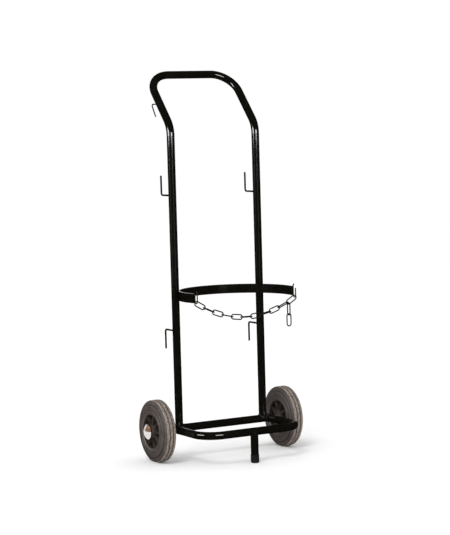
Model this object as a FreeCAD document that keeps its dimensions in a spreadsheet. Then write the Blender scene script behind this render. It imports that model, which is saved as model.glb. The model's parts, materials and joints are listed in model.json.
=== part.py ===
"""Bottle trolley of bent tube: one gas bottle stands on the open base and is held by a ring and a chain.

Frame: +Z up, +X to the trolley's right, front towards -Y; origin on the floor under the middle.
"""
import FreeCAD, Part
import os
from math import atan2, cos, degrees, hypot, radians, sin, sqrt, tan

import Sketcher

Vector = FreeCAD.Vector
Rotation = FreeCAD.Rotation
Placement = FreeCAD.Placement
X_AXIS, Y_AXIS, Z_AXIS = Vector(1, 0, 0), Vector(0, 1, 0), Vector(0, 0, 1)

DIMENSIONS = [
    # frame tube
    ("tube_radius", 12.7), ("tube_wall", 2.0), ("upright_span", 314), ("axle_height", 100),
    ("bend_height", 1071), ("handle_rise", 169), ("handle_reach", 152),
    ("upright_bend", 75), ("handle_corner", 78),
    # base
    ("base_span", 358), ("base_reach", 210), ("base_corner", 66), ("rear_tube_length", 392),
    ("foot_radius", 12.5), ("foot_wall", 2.0), ("foot_cap_radius", 13.5), ("foot_cap_height", 26),
    ("foot_cap_floor", 5), ("foot_cap_round", 4), ("foot_cap_edge", 1.2),
    # ring round the bottle
    ("ring_thickness", 5), ("ring_height", 30), ("ring_bottom", 519),
    ("ring_setback", 125), ("ring_past", 13), ("ring_gap", 0.05),
    # hooks of bent rod
    ("hose_rod", 3), ("hose_leg", 62), ("hose_tip", 63), ("hose_bend", 8),
    ("hose_upper", 851.5), ("hose_lower", 415.5),
    ("torch_rod", 2), ("torch_leg", 39), ("torch_fold", 26), ("torch_tip", 40), ("torch_bend", 5),
    ("torch_height", 1145),
    ("catch_rod", 2), ("catch_width", 14), ("catch_depth", 30), ("catch_bend", 6.5),
    ("catch_back", 38), ("catch_lean", 4), ("catch_spike", 5),
    # chain
    ("wire", 2), ("link_inside", 35.4), ("link_half_width", 7.5), ("link_gap", 0.15), ("end_gap", 1.1),
    ("chain_plane", -144), ("chain_left_height", 518), ("chain_right_height", 513),
    ("pull_angle", 18), ("tail_angle", 60),
    # wheels
    ("wheel_radius", 100), ("wheel_track", 474), ("tread_half", 15), ("groove_depth", 3.5),
    ("groove_inner", 4.5), ("groove_outer", 7.5), ("shoulder_drop", 1), ("upper_wall_radius", 84),
    ("upper_wall_half", 20.5), ("step_half", 21.6), ("lower_wall_radius", 70), ("lower_wall_half", 24.2),
    ("bulge_half", 25), ("bulge_start", 62), ("bulge_end", 68), ("step_start", 83),
    ("bead_radius", 58), ("seat_radius", 56), ("seat_half", 22.5),
    ("barrel_radius", 53), ("web_half", 3), ("hub_radius", 22), ("hub_half", 30), ("bush_radius", 14),
    ("rib_thickness", 3), ("rib_half", 20.5), ("rib_count", 9), ("rib_overlap", 1), ("right_turn", 30),
    ("axle_radius", 10), ("axle_length", 552), ("axle_chamfer", 1), ("running_gap", 0.05),
    ("spacer_radius", 14), ("washer_radius", 18), ("washer_thickness", 2.5), ("side_gap", 0.2),
    ("cap_radius", 24), ("cap_skirt", 3), ("cap_dome", 10), ("cap_wall", 1.2), ("cap_rim_wall", 1.9),
]

doc = FreeCAD.newDocument("bottle_trolley")
sheet = doc.addObject("Spreadsheet::Sheet", "dims")
for row, (alias, number) in enumerate(DIMENSIONS, start=1):
    sheet.set("A%d" % row, alias)
    sheet.set("B%d" % row, str(number))
    sheet.setAlias("B%d" % row, alias)
doc.recompute()


def size(alias):
    """The plain number in a cell of the sheet."""
    return float(sheet.get(alias))


pieces = []


def keep(piece, label, place=None):
    """Name a finished sub-part and put it where it belongs."""
    piece.Label = label
    if place is not None:
        piece.Placement = place
    pieces.append(piece)
    return piece


def bind(obj, **sizes):
    """Bind properties of an object to expressions on the sheet."""
    for prop, expression in sizes.items():
        obj.setExpression(prop, expression)
    return obj


def number(expression):
    """Work out an expression on the sheet, for the first shape of a sketch."""
    return float(sheet.evalExpression(expression)) if isinstance(expression, str) else float(expression)


def origin_plane(body, role):
    return [feature for feature in body.Origin.OriginFeatures if feature.Role == role][0]


def new_sketch(body, name, role):
    sketch = body.newObject("Sketcher::SketchObject", name)
    sketch.AttachmentSupport = (origin_plane(body, role), [""])
    sketch.MapMode = "FlatFace"
    return sketch


def bind_point(sketch, geometry, corner, across, up):
    """Hold one point of a sketch at two expressions, measured from the origin."""
    for kind, expression in (("DistanceX", across), ("DistanceY", up)):
        index = sketch.addConstraint(
            Sketcher.Constraint(kind, -1, 1, geometry, corner, number(expression)))
        sketch.setExpression("Constraints[%d]" % index, str(expression))


def bind_radius(sketch, geometry, expression):
    index = sketch.addConstraint(Sketcher.Constraint("Radius", geometry, number(expression)))
    sketch.setExpression("Constraints[%d]" % index, expression)


def bind_circle(sketch, radius, across="0", up="0"):
    centre = Vector(number(across), number(up), 0)
    circle = sketch.addGeometry(Part.Circle(centre, Z_AXIS, number(radius)))
    bind_point(sketch, circle, 3, across, up)
    bind_radius(sketch, circle, radius)


def outline(sketch, corners):
    """Closed outline of straight sides; each corner is a pair of expressions."""
    points = [Vector(number(across), number(up), 0) for across, up in corners]
    sides = [sketch.addGeometry(Part.LineSegment(points[i - 1], points[i])) for i in range(len(points))]
    for i, side in enumerate(sides):
        sketch.addConstraint(Sketcher.Constraint("Coincident", side, 2, sides[(i + 1) % len(sides)], 1))
        bind_point(sketch, side, 2, *corners[i])


def path(sketch, corners, bend):
    """Open path of straight runs joined by tangent arcs of one bend radius."""
    points = [Vector(number(across), number(up), 0) for across, up in corners]
    radius = number(bend)
    starts, ends, arcs = [points[0]], [], []
    for before, corner, after in zip(points, points[1:], points[2:]):
        back, ahead = (before - corner).normalize(), (after - corner).normalize()
        half = back.getAngle(ahead) / 2
        ends.append(corner + back * (radius / tan(half)))
        starts.append(corner + ahead * (radius / tan(half)))
        centre = corner + (back + ahead).normalize() * (radius / sin(half))
        first, last = [atan2(p.y - centre.y, p.x - centre.x) for p in (ends[-1], starts[-1])]
        left_turn = (corner - before).cross(after - corner).z > 0
        arcs.append((centre, first, last) if left_turn else (centre, last, first))
        arcs[-1] += (left_turn,)
    ends.append(points[-1])
    runs = [sketch.addGeometry(Part.LineSegment(a, b)) for a, b in zip(starts, ends)]
    bind_point(sketch, runs[0], 1, *corners[0])
    bind_point(sketch, runs[-1], 2, *corners[-1])
    for i, (centre, first, last, left_turn) in enumerate(arcs):
        arc = sketch.addGeometry(Part.ArcOfCircle(Part.Circle(centre, Z_AXIS, radius), first, last))
        near, far = (1, 2) if left_turn else (2, 1)
        sketch.addConstraint(Sketcher.Constraint("Tangent", runs[i], 2, arc, near))
        sketch.addConstraint(Sketcher.Constraint("Tangent", arc, far, runs[i + 1], 1))
        bind_radius(sketch, arc, bend)
        corner = sketch.addGeometry(Part.Point(points[i + 1]), True)
        bind_point(sketch, corner, 1, *corners[i + 1])
        sketch.addConstraint(Sketcher.Constraint("PointOnObject", corner, 1, runs[i]))
        sketch.addConstraint(Sketcher.Constraint("PointOnObject", corner, 1, runs[i + 1]))


def bent_bar(name, path_plane, section_plane, corners, bend, radius, bore=None):
    """Round bar, or tube when it has a bore, along a flat path that starts at the local origin."""
    body = doc.addObject("PartDesign::Body", name)
    spine = new_sketch(body, name + "_path", path_plane)
    path(spine, corners, bend)
    section = new_sketch(body, name + "_section", section_plane)
    bind_circle(section, radius)
    if bore:
        bind_circle(section, bore)
    doc.recompute()
    pipe = body.newObject("PartDesign::AdditivePipe", name + "_bar")
    pipe.Profile = section
    pipe.Spine = (spine, [])
    body.Tip = pipe
    return body


def padded(name, plane, radius, bore, length, symmetric=False):
    """Round bar or tube padded from a flat section."""
    body = doc.addObject("PartDesign::Body", name)
    section = new_sketch(body, name + "_section", plane)
    bind_circle(section, radius)
    if bore:
        bind_circle(section, bore)
    pad = body.newObject("PartDesign::Pad", name + "_pad")
    pad.Profile = section
    pad.Midplane = symmetric
    bind(pad, Length=length)
    return body


def cope(body, radius, across="0", up="0"):
    """Cut a body's end to sit on a tube that runs along X through the given point."""
    mouth = new_sketch(body, body.Name + "_mouth", "YZ_Plane")
    bind_circle(mouth, radius, across, up)
    cut = body.newObject("PartDesign::Pocket", body.Name + "_cope")
    cut.Profile = mouth
    cut.Type = "ThroughAll"
    cut.Midplane = True


def turned(name, corners):
    """Solid of revolution about X; corners are (along the axis, radius)."""
    body = doc.addObject("PartDesign::Body", name)
    section = new_sketch(body, name + "_section", "XY_Plane")
    outline(section, corners)
    turn = body.newObject("PartDesign::Revolution", name + "_turn")
    turn.Profile = section
    turn.ReferenceAxis = (section, ["H_Axis"])
    bind(turn, Angle="360")
    return body


def mirrored(half):
    """Both halves of a section that is the same on each side of the wheel's middle plane."""
    return half + [("-(%s)" % across, radius) for across, radius in reversed(half)]


# places that several sub-parts share
RING_OUTER = ("sqrt((dims.upright_span / 2) ^ 2 + dims.ring_setback ^ 2)"
              " - dims.tube_radius - dims.ring_gap")
uprights_y = (size("base_reach") + size("foot_cap_radius") - size("handle_reach") - size("tube_radius")) / 2
upright_x = size("upright_span") / 2
tube_radius = size("tube_radius")
ring_y = uprights_y - size("ring_setback")
ring_outer = number(RING_OUTER)
ring_inner = ring_outer - size("ring_thickness")
chain_y = size("chain_plane")
slope = atan2(size("handle_rise"), size("handle_reach"))


def fillet_wire(points, radii):
    """Wire of straight runs in space with a tangent arc at each inner point."""
    edges, start = [], points[0]
    for before, corner, after, radius in zip(points, points[1:], points[2:], radii):
        back, ahead = (before - corner).normalize(), (after - corner).normalize()
        half = back.getAngle(ahead) / 2
        first = corner + back * (radius / tan(half))
        last = corner + ahead * (radius / tan(half))
        middle = corner + (back + ahead).normalize() * (radius / sin(half) - radius)
        edges += [Part.LineSegment(start, first).toShape(), Part.Arc(first, middle, last).toShape()]
        start = last
    edges.append(Part.LineSegment(start, points[-1]).toShape())
    return Part.Wire(edges)


def swept(wire, radius):
    circle = Part.Wire(Part.Circle(wire.Vertexes[0].Point, Z_AXIS, radius).toShape())
    return wire.makePipeShell([circle], True, False)


def handle_frame():
    """One tube: up, back along the slope, across, and down again; it stands on the rear tube."""
    top_y = uprights_y + size("handle_reach")
    top_z = size("bend_height") + size("handle_rise")
    left = [Vector(-upright_x, uprights_y, size("axle_height")),
            Vector(-upright_x, uprights_y, size("bend_height")), Vector(-upright_x, top_y, top_z)]
    right = [Vector(-point.x, point.y, point.z) for point in reversed(left)]
    radii = [size("upright_bend"), size("handle_corner"), size("handle_corner"), size("upright_bend")]
    wire = fillet_wire(left + right, radii)
    tube = swept(wire, tube_radius).cut(swept(wire, tube_radius - size("tube_wall")))
    rear_tube = Part.makeCylinder(tube_radius, size("upright_span") * 2,
                                  Vector(-size("upright_span"), uprights_y, size("axle_height")), X_AXIS)
    piece = doc.addObject("Part::Feature", "handle_frame")
    piece.Shape = tube.cut(rear_tube)
    keep(piece, "handle_frame_tube")


def base_tubes():
    """The cross tube that holds the axle, and the open loop in front of it."""
    rear = padded("rear_tube", "YZ_Plane", "dims.tube_radius",
                  "dims.axle_radius + 2 * dims.running_gap", "dims.rear_tube_length", symmetric=True)
    keep(rear, "rear_cross_tube", Placement(Vector(0, uprights_y, size("axle_height")), Rotation()))
    corners = [("0", "0"), ("0", "-dims.base_reach"), ("dims.base_span", "-dims.base_reach"),
               ("dims.base_span", "0")]
    loop = bent_bar("base_loop", "XY_Plane", "XZ_Plane", corners, "dims.base_corner",
                    "dims.tube_radius", "dims.tube_radius - dims.tube_wall")
    cope(loop, "dims.tube_radius")
    keep(loop, "base_loop_tube",
         Placement(Vector(-size("base_span") / 2, uprights_y, size("axle_height")), Rotation()))


def foot():
    """Stub under the front bar with a moulded cap; the trolley rests on it and the two wheels."""
    front_y = uprights_y - size("base_reach")
    stub = padded("foot_stub", "XY_Plane", "dims.foot_radius", "dims.foot_radius - dims.foot_wall",
                  "dims.axle_height - dims.foot_cap_floor")
    cope(stub, "dims.tube_radius", "0", "dims.axle_height - dims.foot_cap_floor")
    keep(stub, "foot_tube", Placement(Vector(0, front_y, size("foot_cap_floor")), Rotation()))
    cap = turned("foot_end", [
        ("0", "0"), ("0", "dims.foot_cap_radius - dims.foot_cap_round"),
        ("dims.foot_cap_edge", "dims.foot_cap_radius - dims.foot_cap_edge"),
        ("dims.foot_cap_round", "dims.foot_cap_radius"),
        ("dims.foot_cap_height", "dims.foot_cap_radius"),
        ("dims.foot_cap_height", "dims.foot_radius"), ("dims.foot_cap_floor", "dims.foot_radius"),
        ("dims.foot_cap_floor", "0")])
    keep(cap, "foot_cap", Placement(Vector(0, front_y, 0), Rotation(Y_AXIS, -90)))


def ring():
    """Flat bar rolled to an arc that is open at the front, welded inside the uprights."""
    outer = bind(doc.addObject("Part::Cylinder", "ring_outside"), Radius=RING_OUTER,
                 Height="dims.ring_height", Angle="180 + 2 * dims.ring_past")
    inner = bind(doc.addObject("Part::Cylinder", "ring_inside"), Radius=RING_OUTER + " - dims.ring_thickness",
                 Height="dims.ring_height")
    strap = doc.addObject("Part::Cut", "ring_strap")
    strap.Base, strap.Tool = outer, inner
    keep(strap, "bottle_ring",
         Placement(Vector(0, ring_y, size("ring_bottom")), Rotation(Z_AXIS, -size("ring_past"))))


def hose_hooks():
    """Two pairs of bent rods behind the uprights: the upper pair points up, the lower pair down."""
    for level, height, turn in (("upper", "hose_upper", 1), ("lower", "hose_lower", -1)):
        for side, x in (("left", -upright_x), ("right", upright_x)):
            corners = [("0", "0"), ("dims.hose_leg", "0"), ("dims.hose_leg", "%d * dims.hose_tip" % turn)]
            rod = bent_bar("hose_rod_%s_%s" % (level, side), "YZ_Plane", "XZ_Plane", corners,
                           "dims.hose_bend", "dims.hose_rod")
            place = Vector(x, uprights_y + tube_radius, size(height))
            keep(rod, "hose_hook_%s_%s" % (level, side), Placement(place, Rotation()))


def torch_hook():
    """Thin rod on the left slope, folded back down along the tube."""
    corners = [("0", "0"), ("dims.torch_leg", "0"),
               ("dims.torch_leg - dims.torch_fold", "-dims.torch_tip")]
    rod = bent_bar("torch_rod_bent", "YZ_Plane", "XZ_Plane", corners, "dims.torch_bend", "dims.torch_rod")
    along = (size("torch_height") - size("bend_height")) / tan(slope)
    root_y = uprights_y + along + tube_radius / sin(slope) + size("torch_rod") / tan(slope)
    keep(rod, "torch_hook", Placement(Vector(-upright_x, root_y, size("torch_height")), Rotation()))


def beside_ring(y, radius):
    """How far out in X a rod lies that touches the ring at depth y."""
    return sqrt(radius ** 2 - (y - ring_y) ** 2)


# the first link is welded inside the left end of the ring, the catch outside the right end
weld_left = ring_inner * cos(radians(size("ring_past"))) - size("wire") - size("ring_gap")
weld_right = beside_ring(chain_y + size("catch_width") / 2, ring_outer + size("catch_rod") + size("ring_gap"))
chain_left = Vector(-weld_left, chain_y, size("chain_left_height"))
chain_right = Vector(weld_right, chain_y, size("chain_right_height"))


def chain_catch():
    """U of rod on the right end of the ring; the chain's link drops over its free leg."""
    depth, back = "-dims.catch_depth", "dims.catch_back - dims.catch_depth"
    corners = [("0", "0"), ("0", depth), ("dims.catch_width", depth), ("dims.catch_width", back),
               ("dims.catch_width - dims.catch_lean", back + " + dims.catch_spike")]
    rod = bent_bar("catch_rod_bent", "YZ_Plane", "XY_Plane", corners, "dims.catch_bend",
                   "dims.catch_rod")
    top = chain_right + Vector(0, -size("catch_width") / 2, size("catch_depth"))
    keep(rod, "chain_catch", Placement(top, Rotation()))


def link_shape(name):
    """Chain link along X in the XY plane: two half rings and two legs."""
    arc_place = size("link_inside") / 2 - (size("link_half_width") - size("wire"))
    shapes = []
    for end, turn in ((1, -90), (-1, 90)):
        bow = doc.addObject("Part::Torus", name + "_bow")
        bind(bow, Radius1="dims.link_half_width", Radius2="dims.wire", Angle3="180")
        bow.Placement = Placement(Vector(end * arc_place, 0, 0), Rotation(Z_AXIS, turn))
        leg = doc.addObject("Part::Cylinder", name + "_leg")
        bind(leg, Radius="dims.wire",
             Height="dims.link_inside - 2 * (dims.link_half_width - dims.wire)")
        leg.Placement = Placement(Vector(-arc_place, end * size("link_half_width"), 0), Rotation(Y_AXIS, 90))
        shapes += [bow, leg]
    link = doc.addObject("Part::MultiFuse", name)
    link.Shapes = shapes
    return link


def place_link(index, centre, rise, flat):
    """Put a link at its centre, rising at an angle in XZ; a flat one lies in XZ, the rest across it."""
    link = link_shape("link_%02d" % index)
    roll = Rotation(X_AXIS, 90 if flat else 0)
    keep(link, "chain_link_%02d" % index,
         Placement(centre, Rotation(Y_AXIS, -degrees(rise)).multiply(roll)))


def direction(angle):
    return Vector(cos(angle), 0, sin(angle))


def swag_rises(lengths, span, drop):
    """Slope angles of a hanging chain of short rigid links between two fixed ends.

    The tangent of a link's slope grows evenly along the chain, by one part in `stiffness` per link,
    and `lowest` is the link at which it is level; both are found by halving.
    """

    def rises(lowest, stiffness):
        return [atan2(k - lowest, stiffness) for k in range(len(lengths))]

    def height(lowest, stiffness):
        return sum(length * sin(rise) for length, rise in zip(lengths, rises(lowest, stiffness)))

    def width(lowest, stiffness):
        return sum(length * cos(rise) for length, rise in zip(lengths, rises(lowest, stiffness)))

    loose, tight, halvings = 0.5, 500.0, 60
    for _ in range(halvings):
        stiffness = (loose + tight) / 2
        low, high = -4.0 * len(lengths), 4.0 * len(lengths)
        for _ in range(halvings):
            lowest = (low + high) / 2
            if height(lowest, stiffness) > drop:
                low = lowest
            else:
                high = lowest
        if width(lowest, stiffness) < span:
            loose = stiffness
        else:
            tight = stiffness
    return rises(lowest, stiffness)


def chain():
    """Swag of long links from the ring's left end to the catch, with a tail of two spare links."""
    wire, inside = size("wire"), size("link_inside")
    seat = wire + size("link_gap")
    end_seat = wire + size("end_gap")
    bow_radius = size("link_half_width") - wire
    pull = radians(size("pull_angle"))
    tail = radians(size("tail_angle"))
    across_length = inside + 2 * wire
    flat_length = inside - 2 * seat
    first_length = inside - end_seat - seat
    bow_reach = inside - end_seat - bow_radius
    bow_slack = bow_radius - seat
    last_along = bow_reach + bow_slack * cos(pull)
    last_aside = bow_slack * sin(pull)
    last_length, last_skew = hypot(last_along, last_aside), atan2(last_aside, last_along)
    lengths = [first_length] + [across_length, flat_length] * 4 + [across_length, last_length]
    rises = swag_rises(lengths, chain_right.x - chain_left.x, chain_right.z - chain_left.z)

    place_link(1, chain_left + Vector(0, 0, inside / 2 + wire), radians(90), False)
    joint, first, last = chain_left, 2, 1 + len(lengths)
    for index, (length, rise) in enumerate(zip(lengths, rises), start=first):
        along = direction(rise)
        if index == first:
            centre = joint + along * (inside / 2 - end_seat)
        elif index == last:
            rise += last_skew
            centre = chain_right - direction(rise) * (inside / 2 - end_seat)
        else:
            centre = joint + along * (length / 2)
        place_link(index, centre, rise, index % 2 == 0)
        joint = joint + along * length

    bow_centre = chain_right - direction(rise) * bow_reach
    tail_side = direction(rise).negative()
    tail_side = Rotation(Y_AXIS, -degrees(tail)).multVec(tail_side)
    tail_top = bow_centre + tail_side * bow_slack
    place_link(13, tail_top - Vector(0, 0, across_length / 2), radians(-90), False)
    tail_foot = tail_top - Vector(0, 0, across_length)
    place_link(14, tail_foot - Vector(0, 0, inside / 2 - seat), radians(-90), True)
    swing = bow_centre + tail_side * size("link_half_width")
    return swing, tail_foot


TYRE_HALF = [
    ("dims.seat_half", "dims.seat_radius"), ("dims.seat_half", "dims.bead_radius"),
    ("dims.bulge_half", "dims.bulge_start"), ("dims.bulge_half", "dims.bulge_end"),
    ("dims.lower_wall_half", "dims.lower_wall_radius"), ("dims.step_half", "dims.step_start"),
    ("dims.upper_wall_half", "dims.upper_wall_radius"),
    ("dims.tread_half", "dims.wheel_radius - dims.shoulder_drop"),
    ("dims.groove_outer", "dims.wheel_radius"),
    ("dims.groove_outer", "dims.wheel_radius - dims.groove_depth"),
    ("dims.groove_inner", "dims.wheel_radius - dims.groove_depth"),
    ("dims.groove_inner", "dims.wheel_radius"),
]
RIM_HALF = [
    ("dims.hub_half", "dims.bush_radius"), ("dims.hub_half", "dims.hub_radius"),
    ("dims.web_half", "dims.hub_radius"), ("dims.web_half", "dims.barrel_radius"),
    ("dims.seat_half", "dims.barrel_radius"), ("dims.seat_half", "dims.seat_radius"),
]


def rim(name):
    """Moulded centre: hub, web, barrel and ribs on both sides of the web."""
    body = turned(name, mirrored(RIM_HALF))
    section = new_sketch(body, name + "_rib_section", "YZ_Plane")
    half = "dims.rib_thickness / 2"
    inner, outer = "dims.hub_radius - dims.rib_overlap", "dims.barrel_radius + dims.rib_overlap"
    outline(section, [(inner, "-" + half), (outer, "-" + half), (outer, half), (inner, half)])
    rib = body.newObject("PartDesign::Pad", name + "_rib")
    rib.Profile = section
    rib.Midplane = True
    bind(rib, Length="2 * dims.rib_half")
    body.Tip = rib
    doc.recompute()
    ribs = body.newObject("PartDesign::PolarPattern", name + "_ribs")
    ribs.Originals = [rib]
    ribs.Angle = 360
    ribs.Axis = (origin_plane(body, "X_Axis"), [""])
    bind(ribs, Occurrences="dims.rib_count")
    body.Tip = ribs
    return body


def axle_cap(name):
    """Domed push-on cap that grips the end of the axle; its local +X points outwards."""
    ball_radius = "(dims.cap_radius ^ 2 + dims.cap_dome ^ 2) / (2 * dims.cap_dome)"
    drop = number(ball_radius) - size("cap_dome")
    parts = {}
    for part, radius in (("outside", ball_radius), ("inside", ball_radius + " - dims.cap_wall")):
        ball = bind(doc.addObject("Part::Sphere", "%s_%s" % (name, part)), Radius=radius)
        ball.Placement.Base = Vector(size("cap_skirt") - drop, 0, 0)
        parts[part] = ball
    room = bind(doc.addObject("Part::Cylinder", name + "_room"), Radius="2 * dims.cap_radius",
                Height="4 * dims.cap_radius")
    room.Placement = Placement(Vector(size("cap_skirt"), 0, 0), Rotation(Y_AXIS, 90))
    shell = doc.addObject("Part::Cut", name + "_shell")
    shell.Base, shell.Tool = parts["outside"], parts["inside"]
    dome = doc.addObject("Part::Common", name + "_dome")
    dome.Base, dome.Tool = shell, room
    skirt = turned(name + "_skirt", [
        ("0", "dims.axle_radius"), ("0", "dims.cap_radius"), ("dims.cap_skirt", "dims.cap_radius"),
        ("dims.cap_skirt", "dims.cap_radius - dims.cap_rim_wall"),
        ("dims.cap_wall", "dims.cap_radius - dims.cap_rim_wall"), ("dims.cap_wall", "dims.axle_radius")])
    cap = doc.addObject("Part::MultiFuse", name)
    cap.Shapes = [dome, skirt]
    return cap


def round_edges(shape):
    """Names of the round edges of a plain bar."""
    return ["Edge%d" % i for i, edge in enumerate(shape.Edges, start=1)
            if isinstance(edge.Curve, Part.Circle)]


def wheels():
    """Axle, and on each end a spacer, a wheel of tyre, rim and bush, a washer and a cap."""
    middle = Vector(0, uprights_y, size("axle_height"))
    axle = padded("axle_bar", "YZ_Plane", "dims.axle_radius", None, "dims.axle_length", symmetric=True)
    doc.recompute()
    bar, ends = axle.Tip, round_edges(axle.Shape)
    chamfer = axle.newObject("PartDesign::Chamfer", "axle_chamfer")
    chamfer.Base = (bar, ends)
    bind(chamfer, Size="dims.axle_chamfer")
    keep(axle, "axle_rod", Placement(middle, Rotation()))
    hub_outside = size("wheel_track") / 2 + size("hub_half")
    tube_end = size("rear_tube_length") / 2
    gap = size("side_gap")
    bore = "dims.axle_radius + 2 * dims.running_gap"
    for side, sign in (("left", -1), ("right", 1)):
        outward = Rotation(Z_AXIS, 180 if sign < 0 else 0)

        def at(x):
            return Placement(middle + Vector(sign * x, 0, 0), outward)

        tyre = turned("tyre_%s_turned" % side, mirrored(TYRE_HALF))
        keep(tyre, "tyre_" + side, at(size("wheel_track") / 2))
        stopped = Placement(Vector(), Rotation(X_AXIS, size("right_turn") if sign > 0 else 0))
        keep(rim("rim_%s_moulded" % side), "rim_" + side, at(size("wheel_track") / 2).multiply(stopped))
        bush = padded("bush_%s_tube" % side, "YZ_Plane", "dims.bush_radius",
                      "dims.axle_radius + dims.running_gap", "2 * dims.hub_half", symmetric=True)
        keep(bush, "wheel_bush_" + side, at(size("wheel_track") / 2))
        spacer = padded("spacer_%s_tube" % side, "YZ_Plane", "dims.spacer_radius", bore,
                        "(dims.wheel_track - dims.rear_tube_length) / 2 - dims.hub_half - 2 * dims.side_gap")
        keep(spacer, "axle_spacer_" + side, at(tube_end + gap))
        washer = padded("washer_%s_ring" % side, "YZ_Plane", "dims.washer_radius", bore,
                        "dims.washer_thickness")
        keep(washer, "axle_washer_" + side, at(hub_outside + gap))
        keep(axle_cap("cap_%s_pressed" % side), "axle_cap_" + side,
             at(hub_outside + 2 * gap + size("washer_thickness")))


handle_frame()
base_tubes()
foot()
ring()
hose_hooks()
torch_hook()
chain_catch()
swing_point, tail_point = chain()
wheels()

doc.recompute()
for item in doc.Objects:
    for state in ("Invalid", "Error"):
        if state in item.State:
            raise RuntimeError("%s is %s" % (item.Name, state))
for piece in pieces:
    if piece.Shape.isNull() or not piece.Shape.isValid():
        raise RuntimeError("%s has no valid shape" % piece.Label)

print("chain pivots: left %s, right %s, swing %s, tail %s"
      % (chain_left, chain_right, swing_point, tail_point))
os.makedirs("parts", exist_ok=True)
for piece in pieces:
    piece.Shape.exportStep("parts/%s.step" % piece.Label)
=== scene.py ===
"""Looks of the bottle trolley: gloss black tube, dark chain, grooved rubber tyres and polished axle caps."""
import json
import math
import random

import bpy
from mathutils import Matrix, Vector


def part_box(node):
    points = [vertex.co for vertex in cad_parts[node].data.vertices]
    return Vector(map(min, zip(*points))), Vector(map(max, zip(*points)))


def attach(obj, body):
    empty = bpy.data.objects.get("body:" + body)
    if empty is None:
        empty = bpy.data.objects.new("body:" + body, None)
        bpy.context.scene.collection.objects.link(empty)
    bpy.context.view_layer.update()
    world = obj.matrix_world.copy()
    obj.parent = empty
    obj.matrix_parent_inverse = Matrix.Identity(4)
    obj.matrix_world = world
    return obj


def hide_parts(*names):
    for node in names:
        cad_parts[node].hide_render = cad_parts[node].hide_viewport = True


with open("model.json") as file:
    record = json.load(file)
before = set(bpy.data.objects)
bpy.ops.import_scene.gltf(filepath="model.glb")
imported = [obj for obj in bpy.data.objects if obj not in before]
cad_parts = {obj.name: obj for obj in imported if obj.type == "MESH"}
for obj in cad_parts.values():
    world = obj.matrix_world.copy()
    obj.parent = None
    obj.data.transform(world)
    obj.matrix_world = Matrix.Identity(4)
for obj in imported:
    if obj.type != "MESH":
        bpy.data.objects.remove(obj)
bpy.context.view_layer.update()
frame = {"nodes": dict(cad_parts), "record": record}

MM = 0.001


# ---------------------------------------------------------------- shader helpers

class Shader:
    """A new material with short calls for the nodes that the finishes share."""

    def __init__(self, name, **constants):
        self.material = bpy.data.materials.new(name)
        self.material.use_nodes = True
        self.nodes = self.material.node_tree.nodes
        self.links = self.material.node_tree.links
        self.surface = self.nodes["Principled BSDF"]
        for socket, value in constants.items():
            self.surface.inputs[socket.replace("_", " ")].default_value = value
        self.place = self.nodes.new("ShaderNodeTexCoord").outputs["Object"]

    def noise(self, scale, detail=2.0, roughness=0.5, stretch=None):
        """Noise with its features 1/scale metres wide; stretch scales the axes before it."""
        node = self.nodes.new("ShaderNodeTexNoise")
        node.inputs["Scale"].default_value = scale
        node.inputs["Detail"].default_value = detail
        node.inputs["Roughness"].default_value = roughness
        source = self.place
        if stretch:
            mapping = self.nodes.new("ShaderNodeMapping")
            mapping.inputs["Scale"].default_value = stretch
            self.links.new(source, mapping.inputs["Vector"])
            source = mapping.outputs["Vector"]
        self.links.new(source, node.inputs["Vector"])
        return node.outputs["Fac"]

    def between(self, factor, low, high, start=0.35, end=0.65):
        """A number that goes from low to high as factor goes from start to end."""
        node = self.nodes.new("ShaderNodeMapRange")
        for socket, value in (("From Min", start), ("From Max", end), ("To Min", low), ("To Max", high)):
            node.inputs[socket].default_value = value
        self.links.new(factor, node.inputs["Value"])
        return node.outputs["Result"]

    def blend(self, factor, first, second):
        """A colour between two; either may be a colour or another node's output."""
        node = self.nodes.new("ShaderNodeMix")
        node.data_type = "RGBA"
        self.links.new(factor, node.inputs["Factor"])
        for socket, value in (("A", first), ("B", second)):
            plug = [item for item in node.inputs if item.name == socket and item.type == "RGBA"][0]
            if isinstance(value, tuple):
                plug.default_value = (*value, 1)
            else:
                self.links.new(value, plug)
        return [item for item in node.outputs if item.type == "RGBA"][0]

    def math(self, operation, first, second=None):
        node = self.nodes.new("ShaderNodeMath")
        node.operation = operation
        for plug, value in zip(node.inputs, (first, second)):
            if isinstance(value, (int, float)):
                plug.default_value = value
            elif value is not None:
                self.links.new(value, plug)
        return node.outputs["Value"]

    def wheel_radius(self):
        """Distance from the object's own X axis."""
        split = self.nodes.new("ShaderNodeSeparateXYZ")
        self.links.new(self.place, split.inputs["Vector"])
        squares = [self.math("MULTIPLY", split.outputs[axis], split.outputs[axis]) for axis in "YZ"]
        return self.math("SQRT", self.math("ADD", *squares))

    def use(self, socket, output):
        self.links.new(output, self.surface.inputs[socket])

    def bump(self, height, strength, depth):
        node = self.nodes.new("ShaderNodeBump")
        node.inputs["Strength"].default_value = strength
        node.inputs["Distance"].default_value = depth
        self.links.new(height, node.inputs["Height"])
        self.use("Normal", node.outputs["Normal"])


# ---------------------------------------------------------------- finishes

def enamel():
    """Gloss black stove enamel with a little dust."""
    s = Shader("enamel_black")
    dust = s.noise(22, detail=5, roughness=0.6)
    dusty = s.between(dust, 0, 1, 0.5, 0.75)
    s.use("Base Color", s.blend(dusty, (0.0042, 0.0038, 0.0026), (0.0075, 0.0068, 0.0055)))
    s.use("Roughness", s.between(s.noise(14, detail=1), 0.08, 0.11))
    return s.material


def weld_metal():
    """The same enamel over a weld, thinner and glossier on the ripples."""
    s = Shader("enamel_weld")
    s.use("Base Color", s.blend(s.between(s.noise(300), 0, 1), (0.005, 0.0045, 0.004), (0.016, 0.015, 0.014)))
    s.use("Roughness", s.between(s.noise(500), 0.10, 0.22))
    return s.material


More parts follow.
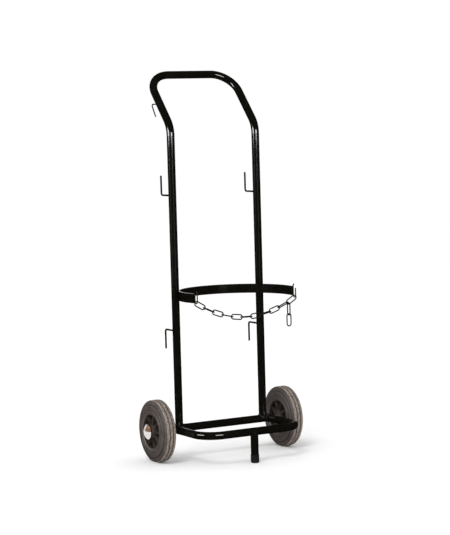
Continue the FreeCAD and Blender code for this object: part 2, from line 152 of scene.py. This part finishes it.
def chain_wire():
    """Dark oiled steel wire, browner where the links rub."""
    s = Shader("chain_wire", Metallic=1.0)
    rubbed = s.between(s.noise(140, detail=5, roughness=0.65), 0, 1, 0.42, 0.66)
    s.use("Base Color", s.blend(rubbed, (0.020, 0.016, 0.014), (0.085, 0.062, 0.052)))
    s.use("Roughness", s.between(s.noise(420, detail=3), 0.26, 0.5))
    s.bump(s.noise(900, detail=2), 0.18, 0.2 * MM)
    return s.material


def zinc():
    """Bright zinc plate with fine turning marks."""
    s = Shader("zinc_plate", Metallic=1.0)
    cloudy = s.between(s.noise(90, detail=4), 0, 1)
    s.use("Base Color", s.blend(cloudy, (0.40, 0.40, 0.41), (0.56, 0.56, 0.55)))
    s.use("Roughness", s.between(s.noise(1400, stretch=(1, 0.05, 0.05)), 0.22, 0.38))
    return s.material


def chrome():
    """Polished plate with barely visible wiping marks."""
    s = Shader("chrome_plate", Metallic=1.0)
    wiped = s.between(s.noise(70, detail=3), 0, 1)
    s.use("Base Color", s.blend(wiped, (0.86, 0.83, 0.80), (0.93, 0.91, 0.89)))
    s.use("Roughness", s.between(s.noise(320, detail=3, stretch=(1, 1, 0.2)), 0.05, 0.13))
    return s.material


# the painted shade colour and the painted highlight colour of the sidewall rings
STEP_SHADE, EDGE_HIGHLIGHT = (0.010, 0.007, 0.006), (0.17, 0.155, 0.15)
# painted shade in the steps of the sidewall and painted highlights on the edges beside them: radius, half width (mm),
# share, colour
WALL_RINGS = [(57.8, 1.0, 0.6, EDGE_HIGHLIGHT), (66.2, 1.1, 0.6, EDGE_HIGHLIGHT), (68.4, 1.7, 1.0, STEP_SHADE),
              (71.0, 0.9, 0.35, EDGE_HIGHLIGHT), (81.8, 1.1, 0.6, EDGE_HIGHLIGHT), (84.0, 1.5, 0.95, STEP_SHADE), (91.5, 1.0, 0.35, EDGE_HIGHLIGHT)]


def rubber_wall():
    """Moulded sidewall: warm grey-brown, faint rings of mould flow, a bloom of dust, and painted shade and highlight
    rings at the steps.
    """
    s = Shader("rubber_sidewall")
    bloom = s.noise(34, detail=6, roughness=0.62)
    rings = s.nodes.new("ShaderNodeTexNoise")
    rings.noise_dimensions = "1D"
    rings.inputs["Scale"].default_value = 420
    rings.inputs["Detail"].default_value = 3
    s.links.new(s.wheel_radius(), rings.inputs["W"])
    base = s.blend(s.between(bloom, 0, 1), (0.052, 0.0375, 0.0320), (0.082, 0.0620, 0.0540))
    streaked = s.blend(s.between(rings.outputs["Fac"], 0, 0.3, 0.4, 0.62), base, (0.090, 0.074, 0.066))
    radius = s.wheel_radius()
    # painted shade in the sidewall steps and painted highlights on their edges, ring by ring
    for ring, width, share, colour in WALL_RINGS:
        away = s.math("ABSOLUTE", s.math("SUBTRACT", radius, ring * MM))
        streaked = s.blend(s.between(away, share, 0, 0.35 * width * MM, width * MM), streaked, colour)
    s.use("Base Color", streaked)
    s.use("Roughness", s.between(bloom, 0.40, 0.60))
    flow_rings = s.math("MULTIPLY", rings.outputs["Fac"], 0.35)
    s.bump(s.math("ADD", flow_rings, s.noise(700)), 0.22, 0.25 * MM)
    return s.material


def rubber_tread():
    """Scuffed running surface: pale grey-brown patches, partly scuffing and partly painted glint, with darker patches
    and grit.
    """
    s = Shader("rubber_tread")
    scuff = s.noise(110, detail=7, roughness=0.68, stretch=(1.6, 1, 1))
    grit = s.noise(900, detail=2)
    # the pale end of this blend is partly scuffing and partly a painted glint
    scuff_and_glint = s.blend(s.between(scuff, 0, 1, 0.38, 0.62), (0.130, 0.105, 0.092), (0.36, 0.290, 0.240))
    s.use("Base Color", s.blend(s.between(grit, 0, 0.5, 0.45, 0.7), scuff_and_glint, (0.040, 0.032, 0.028)))
    s.use("Roughness", s.between(scuff, 0.62, 0.85))
    s.bump(s.math("ADD", grit, scuff), 0.45, 0.35 * MM)
    return s.material


def rim_plastic():
    """Black moulded plastic with a fine spark-eroded grain."""
    s = Shader("rim_plastic")
    dust = s.between(s.noise(48, detail=5, roughness=0.6), 0, 1, 0.45, 0.7)
    s.use("Base Color", s.blend(dust, (0.044, 0.0340, 0.0285), (0.080, 0.0650, 0.057)))
    s.use("Roughness", s.between(s.noise(120, detail=3), 0.36, 0.52))
    s.bump(s.noise(1500), 0.25, 0.12 * MM)
    return s.material


def nylon():
    """Natural nylon, a little greasy."""
    s = Shader("bush_nylon", Subsurface_Weight=0.05)
    greasy = s.between(s.noise(120, detail=4), 0, 1)
    s.use("Base Color", s.blend(greasy, (0.62, 0.60, 0.54), (0.50, 0.47, 0.40)))
    s.use("Roughness", s.between(s.noise(200), 0.3, 0.45))
    return s.material


def foot_plastic():
    """Black cap, scuffed dull near the floor."""
    s = Shader("foot_plastic")
    scuff = s.between(s.noise(160, detail=6, roughness=0.7), 0, 1, 0.4, 0.65)
    s.use("Base Color", s.blend(scuff, (0.0045, 0.004, 0.0035), (0.010, 0.009, 0.008)))
    s.use("Roughness", s.between(s.noise(90, detail=3), 0.3, 0.45))
    s.bump(s.noise(1200), 0.2, 0.15 * MM)
    return s.material


FINISHES = {
    "frame_gloss_black": enamel(), "chain_steel": chain_wire(), "axle_steel": zinc(), "cap_chrome": chrome(),
    "tyre_rubber": rubber_wall(), "rim_plastic": rim_plastic(), "bush_nylon": nylon(),
    "foot_plastic": foot_plastic(),
}
WELD, TREAD = weld_metal(), rubber_tread()


def dress_cad_nodes():
    """Give every carried-over CAD node the finish of its slot in the record."""
    for row in frame["record"]["subparts"]:
        mesh = frame["nodes"][row["node"]].data
        mesh.materials.clear()
        mesh.materials.append(FINISHES[row["material_slot"]])


def soften_ring():
    """Rounded edges on the rolled flat bar, so that they catch the light."""
    edge = frame["nodes"]["bottle_ring"].modifiers.new("rounded edges", "BEVEL")
    edge.width, edge.segments, edge.limit_method = 0.9 * MM, 2, "ANGLE"
    edge.angle_limit = math.radians(50)


# ---------------------------------------------------------------- mesh helpers

def new_piece(name, points, faces, materials, body, centre=(0, 0, 0), sharp=35):
    """A shaded mesh object that rides on a body; points are measured from centre."""
    mesh = bpy.data.meshes.new(name)
    mesh.from_pydata([tuple(point) for point in points], [], faces)
    mesh.validate()
    mesh.polygons.foreach_set("use_smooth", [True] * len(mesh.polygons))
    mesh.set_sharp_from_angle(angle=math.radians(sharp))
    for material in materials:
        mesh.materials.append(material)
    piece = bpy.data.objects.new(name, mesh)
    piece.location = centre
    bpy.context.scene.collection.objects.link(piece)
    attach(piece, body)
    return piece


def grid_faces(rows, columns, wrap_rows, wrap_columns):
    """Quads over a grid of points, row by row, closed in either direction."""
    faces = []
    for i in range(rows if wrap_rows else rows - 1):
        for j in range(columns if wrap_columns else columns - 1):
            nxt, right = (i + 1) % rows, (j + 1) % columns
            row, below = i * columns, nxt * columns
            faces.append((row + j, row + right, below + right, below + j))
    return faces


# ---------------------------------------------------------------- tyres

# half outline of the tyre in millimetres, (from the middle plane, from the axle), bead to tread
WALL = [(22.5, 56), (22.5, 57.3), (23.4, 58.2), (24.5, 60), (25, 62.5), (25, 66), (24.5, 67.2), (23.7, 68),
        (23.7, 69), (24.4, 69.9), (24.3, 72), (23.1, 78), (22.1, 82), (21.6, 83.1), (20.7, 83.7), (20.3, 84.5),
        (20.1, 86), (18.6, 90), (16.7, 95.6), (15.8, 97.7)]
TREAD_BANDS = [(15, 98.7), (13.5, 99.4), (11, 99.8), (8.0, 100)]
GROOVE = [(7.5, 99.6), (7.3, 97), (6.8, 96.5), (5.2, 96.5), (4.7, 97), (4.5, 99.6)]
MIDDLE_BAND = [(4.0, 100), (1.5, 100)]
BLOCKS = 60            # blocks round the tread, parted by narrow cuts
CUT_DEPTH = 0.9 * MM
# where the five columns of one block stand, as shares of the block, and whether they are at the cut's foot
COLUMNS = [(0.0, False), (0.42, False), (0.84, False), (0.89, True), (0.95, True)]


def tyre(side):
    """Solid rubber tyre: stepped sidewalls, two round grooves and short cuts across the tread."""
    node = "tyre_" + side
    low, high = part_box(node)
    centre = (low + high) / 2
    half = WALL + TREAD_BANDS + GROOVE + MIDDLE_BAND
    outline = half + [(-x, r) for x, r in reversed(half)]
    land = {point for point in TREAD_BANDS[1:] + MIDDLE_BAND}
    points = []
    for block in range(BLOCKS):
        for share, cut in COLUMNS:
            angle = 2 * math.pi * (block + share) / BLOCKS
            for x, r in outline:
                radius = r * MM - (CUT_DEPTH if cut and (abs(x), r) in land else 0)
                points.append((x * MM, radius * math.cos(angle), radius * math.sin(angle)))
    columns = len(outline)
    piece = new_piece("tyre_%s_grooved" % side, points,
                      grid_faces(BLOCKS * len(COLUMNS), columns, True, True),
                      [FINISHES["tyre_rubber"], TREAD], "wheel_" + side, centre, sharp=28)
    tread_start = (TREAD_BANDS[0][1] - 0.5) * MM
    for face in piece.data.polygons:
        if min(math.hypot(*piece.data.vertices[v].co.yz) for v in face.vertices) > tread_start - CUT_DEPTH:
            face.material_index = 1
    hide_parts(node)


# ---------------------------------------------------------------- welds

RING_RADIUS = 0.18794                            # outside of the bottle ring
RING_CENTRE_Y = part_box("bottle_ring")[1].y - RING_RADIUS
HANDLE_RISE, HANDLE_REACH = 169, 152             # of the sloping part of the handle, in millimetres


def weld(name, path, radius, body="frame", closed=True, ripple=1.9 * MM):
    """A rippled bead of weld along a path of points."""
    path = [Vector(point) for point in path]
    sides, points, run = 10, [], 0.0
    draw = random.Random(name)
    for i, point in enumerate(path):
        before = path[i - 1] if closed or i else point
        after = path[(i + 1) % len(path)] if closed or i + 1 < len(path) else point
        along = (after - before).normalized()
        side = (side - along * side.dot(along)) if points else along.orthogonal()
        side.normalize()
        up = along.cross(side)
        size = radius * (1 + 0.16 * math.sin(2 * math.pi * run / ripple) + draw.uniform(-0.05, 0.05))
        if not closed:
            size *= math.sqrt(max(0.08, 1 - (2 * i / (len(path) - 1) - 1) ** 6))
        for k in range(sides):
            turn = 2 * math.pi * k / sides
            points.append(point + (side * math.cos(turn) + up * math.sin(turn)) * size)
        run += (after - point).length
    faces = grid_faces(len(path), sides, closed, True)
    if not closed:
        faces += [tuple(range(sides - 1, -1, -1)), tuple(range(len(points) - sides, len(points)))]
    return new_piece(name, points, faces, [WELD], body, sharp=60)


def loop(steps, place):
    """Points of a closed path; place turns an angle into a point."""
    return [place(2 * math.pi * i / steps) for i in range(steps)]


def line(first, last, steps):
    return [Vector(first).lerp(Vector(last), i / (steps - 1)) for i in range(steps)]


def frame_welds():
    """Beads where tube meets tube and rod meets tube."""
    tube = (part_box("rear_cross_tube")[1].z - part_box("rear_cross_tube")[0].z) / 2
    rear = sum(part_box("rear_cross_tube"), Vector()) / 2
    base_low, base_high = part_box("base_loop_tube")
    front_y, side_x = base_low.y + tube, base_high.x - tube
    upright_x = sum(p.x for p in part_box("hose_hook_upper_right")) / 2
    bead = 2.0 * MM
    for side, sign in (("left", -1), ("right", 1)):
        def upright_foot(t, x=sign * upright_x):
            r = tube + bead * 0.35
            rise = math.hypot(tube * math.cos(t), bead)
            return x + r * math.cos(t), rear.y + r * math.sin(t), rear.z + rise

        def loop_end(t, x=sign * side_x):
            r = tube + bead * 0.35
            step = math.hypot(tube * math.cos(t), bead)
            return x + r * math.cos(t), rear.y - step, rear.z + r * math.sin(t)

        weld("weld_upright_" + side, loop(110, upright_foot), bead)
        weld("weld_base_" + side, loop(110, loop_end), bead)
    foot = (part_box("foot_tube")[1].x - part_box("foot_tube")[0].x) / 2

    def foot_top(t):
        r = foot - 0.4 * MM
        fall = math.sqrt(max(tube ** 2 - (r * math.sin(t)) ** 2, bead ** 2))
        return r * math.cos(t), front_y + r * math.sin(t), rear.z - fall

    weld("weld_foot", loop(110, foot_top), 1.1 * MM)

    rod_bead = 1.25 * MM
    for level in ("upper", "lower"):
        for side, sign in (("left", -1), ("right", 1)):
            low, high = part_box("hose_hook_%s_%s" % (level, side))
            rod = (high.x - low.x) / 2
            height = low.z + rod if level == "upper" else high.z - rod

            def hook_root(t, x=sign * upright_x, z=height, ring=rod + rod_bead * 0.5):
                across = ring * math.cos(t)
                return x + across, rear.y + math.sqrt(tube ** 2 - across ** 2), z + ring * math.sin(t)

            weld("weld_hook_%s_%s" % (level, side), loop(36, hook_root), rod_bead)


def ring_welds():
    """Upright beads on both sides of the line where the ring touches each upright."""
    low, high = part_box("bottle_ring")
    outer = high.y - RING_CENTRE_Y
    upright_x = sum(p.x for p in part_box("hose_hook_upper_right")) / 2
    upright_y = sum(p.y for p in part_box("rear_cross_tube")) / 2
    reach = math.hypot(upright_x, upright_y - RING_CENTRE_Y)
    bead, end = 2.1 * MM, 1.5 * MM
    for side, sign in (("left", -1), ("right", 1)):
        touch = Vector((sign * upright_x, upright_y - RING_CENTRE_Y, 0)) / reach
        along = Vector((-touch.y, touch.x, 0))
        for part, way in (("a", -1), ("b", 1)):
            spot = touch * (outer + 0.6 * MM) + along * (way * 5.2 * MM)
            foot = Vector((spot.x, spot.y + RING_CENTRE_Y, low.z + end))
            top = foot + Vector((0, 0, high.z - low.z - 2 * end))
            weld("weld_ring_%s_%s" % (side, part), line(foot, top, 44), bead, closed=False)


def small_welds():
    """Beads that hold the torch hook, the first link and the chain catch."""
    hook_low, hook_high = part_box("torch_hook")
    rod = (hook_high.x - hook_low.x) / 2
    slope = math.atan2(HANDLE_RISE, HANDLE_REACH)
    centre = Vector((sum((hook_low.x, hook_high.x)) / 2, hook_low.y + 2.2 * MM, hook_high.z - rod))

    def torch_root(t):
        up = (rod + 0.6 * MM) * math.sin(t)
        return centre.x + (rod + 0.6 * MM) * math.cos(t), centre.y + up / math.tan(slope), centre.z + up

    weld("weld_torch_hook", loop(30, torch_root), 1.0 * MM)

    ring_low, ring_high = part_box("bottle_ring")
    for node in ("chain_link_01", "chain_catch"):
        low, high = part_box(node)
        wire, bead = 2 * MM, 1.1 * MM
        bottom, top = max(low.z, ring_low.z) + 5 * MM, min(high.z, ring_high.z) - 4 * MM
        for way, letter in ((-1, "a"), (1, "b")):
            place = (low.x + 0.8 * MM, high.y - wire + way * 1.9 * MM)
            path = line((*place, bottom), (*place, top), 16)
            weld("weld_%s_%s" % (node, letter), path, bead, closed=False)


# ---------------------------------------------------------------- stage, light and camera

def floor():
    """Plain pale floor."""
    mesh = bpy.data.meshes.new("floor")
    half = 40
    corners = [(-half, -half, 0), (half, -half, 0), (half, half, 0), (-half, half, 0)]
    mesh.from_pydata(corners, [], [(0, 1, 2, 3)])
    s = Shader("floor_paper", Roughness=0.9)
    mottled = s.between(s.noise(3, detail=4), 0, 1)
    s.use("Base Color", s.blend(mottled, (0.87, 0.87, 0.87), (0.89, 0.89, 0.89)))
    mesh.materials.append(s.material)
    piece = bpy.data.objects.new("floor", mesh)
    bpy.context.scene.collection.objects.link(piece)
    piece.visible_glossy = False


AMBER = (1, 0.57, 0.39)


def caps_group(name, state):
    """Light-linking collection that picks the two axle caps, or leaves them out."""
    group = bpy.data.collections.new(name)
    for side in ("left", "right"):
        group.objects.link(frame["nodes"]["axle_cap_" + side])
    for entry in group.collection_objects:
        entry.light_linking.link_state = state
    return group


def panel(name, at, size, glow, towards=(0, 0, 0.6), colour=(1, 1, 1), receivers=None):
    """A studio panel that only shows in gloss; glow is its brightness."""
    width, height = size
    data = bpy.data.lights.new(name, "AREA")
    data.shape = "RECTANGLE"
    data.size, data.size_y = width, height
    data.energy = glow * math.pi * width * height
    data.color = colour
    piece = bpy.data.objects.new(name, data)
    piece.location = at
    piece.rotation_euler = (Vector(towards) - Vector(at)).to_track_quat("-Z", "Y").to_euler()
    bpy.context.scene.collection.objects.link(piece)
    piece.visible_camera = False
    piece.visible_diffuse = False
    piece.light_linking.receiver_collection = receivers


def lights():
    """White surroundings, one soft sun from the front left, and panels for the highlights."""
    world = bpy.data.worlds.new("surroundings")
    world.use_nodes = True
    world.node_tree.nodes["Background"].inputs["Color"].default_value = (1, 1, 1, 1)
    world.node_tree.nodes["Background"].inputs["Strength"].default_value = 1.0
    world.cycles_visibility.glossy = False
    bpy.context.scene.world = world

    sun = bpy.data.lights.new("sun", "SUN")
    sun.energy, sun.angle = 1.1, math.radians(22)
    piece = bpy.data.objects.new("sun", sun)
    piece.rotation_euler = Vector((0.50, 0.38, -0.78)).to_track_quat("-Z", "Y").to_euler()
    piece.visible_glossy = False
    bpy.context.scene.collection.objects.link(piece)

    no_caps, caps = caps_group("not_on_caps", "EXCLUDE"), caps_group("on_caps", "INCLUDE")
    reach = 3.2
    for name, x, y in (("left", -reach, 0), ("front", 0, -reach)):
        panel("window_" + name, (x, y, 1.42), (2.0, 0.8), 18, towards=(0, 0, 1.3), receivers=no_caps)
        panel("below_" + name, (x, y, 0.62), (0.9, 0.7), 0.45, receivers=no_caps)
    panel("behind", (1.6, 2.8, 0.68), (1.5, 0.66), 0.8)
    panel("bounce", (0, 0, 0.002), (8, 8), 0.88, towards=(0, 0, 1), receivers=caps)
    panel("rim", (0, 6.2, 1.65), (9, 3), 0.75, towards=(0, 0, 1.65), receivers=caps)
    for name, at, size, towards in (("side", (-3.2, 0, 1.65), (9, 3), (0, 0, 1.65)),
                                    ("front", (0, -6.2, 1.65), (9, 3), (0, 0, 1.65)),
                                    ("top", (0, 0, 3.2), (9, 12), (0, 0.001, 0))):
        panel("amber_" + name, at, size, 0.27, towards, AMBER, caps)


def camera():
    """Long lens from the front left, a little above the middle, tilted by a hand's error."""
    yaw, pitch, roll = math.radians(29.617), math.radians(4.4766), math.radians(-1.5989)
    forward = Vector((math.sin(yaw) * math.cos(pitch), math.cos(yaw) * math.cos(pitch), -math.sin(pitch)))
    level = Vector((math.cos(yaw), -math.sin(yaw), 0))
    upright = level.cross(forward)
    right = level * math.cos(roll) + upright * math.sin(roll)
    up = upright * math.cos(roll) - level * math.sin(roll)
    data = bpy.data.cameras.new("camera")
    data.lens, data.sensor_width = 125.85, 36
    piece = bpy.data.objects.new("camera", data)
    turned = Matrix((right, up, -forward)).transposed().to_4x4()
    piece.matrix_world = Matrix.Translation((-2.9735, -5.2527, 1.0847)) @ turned
    bpy.context.scene.collection.objects.link(piece)
    bpy.context.scene.camera = piece


bpy.context.scene.view_settings.view_transform = "Standard"
camera()
lights()
floor()
dress_cad_nodes()
soften_ring()
for wheel_side in ("left", "right"):
    tyre(wheel_side)
frame_welds()
ring_welds()
small_welds()
